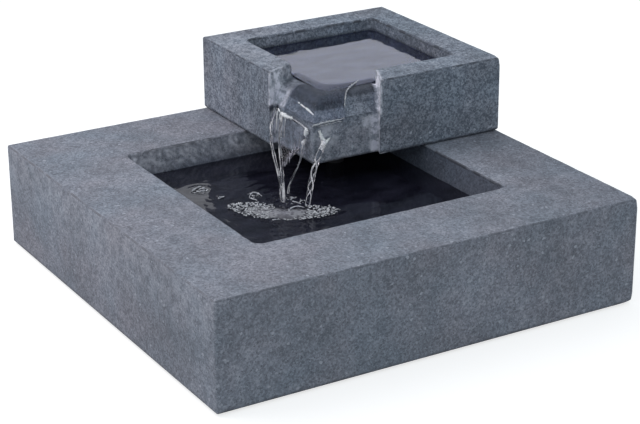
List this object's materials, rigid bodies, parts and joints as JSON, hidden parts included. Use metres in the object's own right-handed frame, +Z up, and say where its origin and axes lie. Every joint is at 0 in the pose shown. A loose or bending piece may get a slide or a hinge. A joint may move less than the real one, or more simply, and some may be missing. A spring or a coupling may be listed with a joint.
{
  "type": "tabletop fountain",
  "caption": "Two-tier square stone fountain: a bowl on the basin's back corner spills through a corner notch into the well; a pump under the bowl lifts the water back up.",
  "frame": {"origin": "middle of the fountain's footprint on the surface it stands on", "axes": "+Z up; -Y is the wide front face; +X and +Y point to the corner that carries the bowl"},
  "size_m": [0.4, 0.4, 0.166],
  "materials": {
    "stone": "honed granite with sawn and chipped edges",
    "black_rubber": "matt",
    "clear_rubber": "satin",
    "black_plastic": "satin",
    "grey_plastic": "satin",
    "resin": "poured",
    "steel_laminations": "stacked sheet",
    "copper_wire": "enamelled copper",
    "ferrite": "ground",
    "ceramic_shaft": "polished",
    "foam": "open-cell foam"
  },
  "bodies": {
    "basin": {"lower_basin": "stone", "basin_feet": "black_rubber", "pump_housing": "black_plastic", "potting_resin": "resin", "stator_core": "steel_laminations", "stator_coils": "copper_wire", "cable_gland": "black_rubber", "housing_seal": "black_rubber", "impeller_cover": "black_plastic", "impeller_shaft": "ceramic_shaft", "front_shaft_bush": "black_rubber", "rear_shaft_bush": "black_rubber", "suction_cups": "clear_rubber", "riser_hose": "black_rubber"},
    "bowl": {"upper_bowl": "stone", "bowl_pads": "clear_rubber", "inlet_fitting": "black_plastic", "inlet_gasket": "black_rubber", "inlet_lock_nut": "black_plastic"},
    "rotor": {"impeller": "grey_plastic", "rotor_magnet": "ferrite"},
    "strainer": {"intake_cover": "black_plastic", "filter_sponge": "foam"},
    "dial": {"flow_dial": "grey_plastic"}
  },
  "joints": [
    {"name": "bowl_lift", "type": "slide", "parent": "basin", "child": "bowl", "axis": [0, 0, 1], "range_m": [0, 0.1]},
    {"name": "rotor_spin", "type": "hinge", "parent": "basin", "child": "rotor", "pos_m": [0.062, 0.062, 0.044], "axis": [0, 1, 0], "continuous": true},
    {"name": "strainer_pull", "type": "slide", "parent": "basin", "child": "strainer", "axis": [0, -1, 0], "range_m": [0, 0.032]},
    {"name": "dial_turn", "type": "hinge", "parent": "strainer", "child": "dial", "pos_m": [0.062, 0.038, 0.044], "axis": [0, -1, 0], "range_deg": [0, 45]}
  ]
}
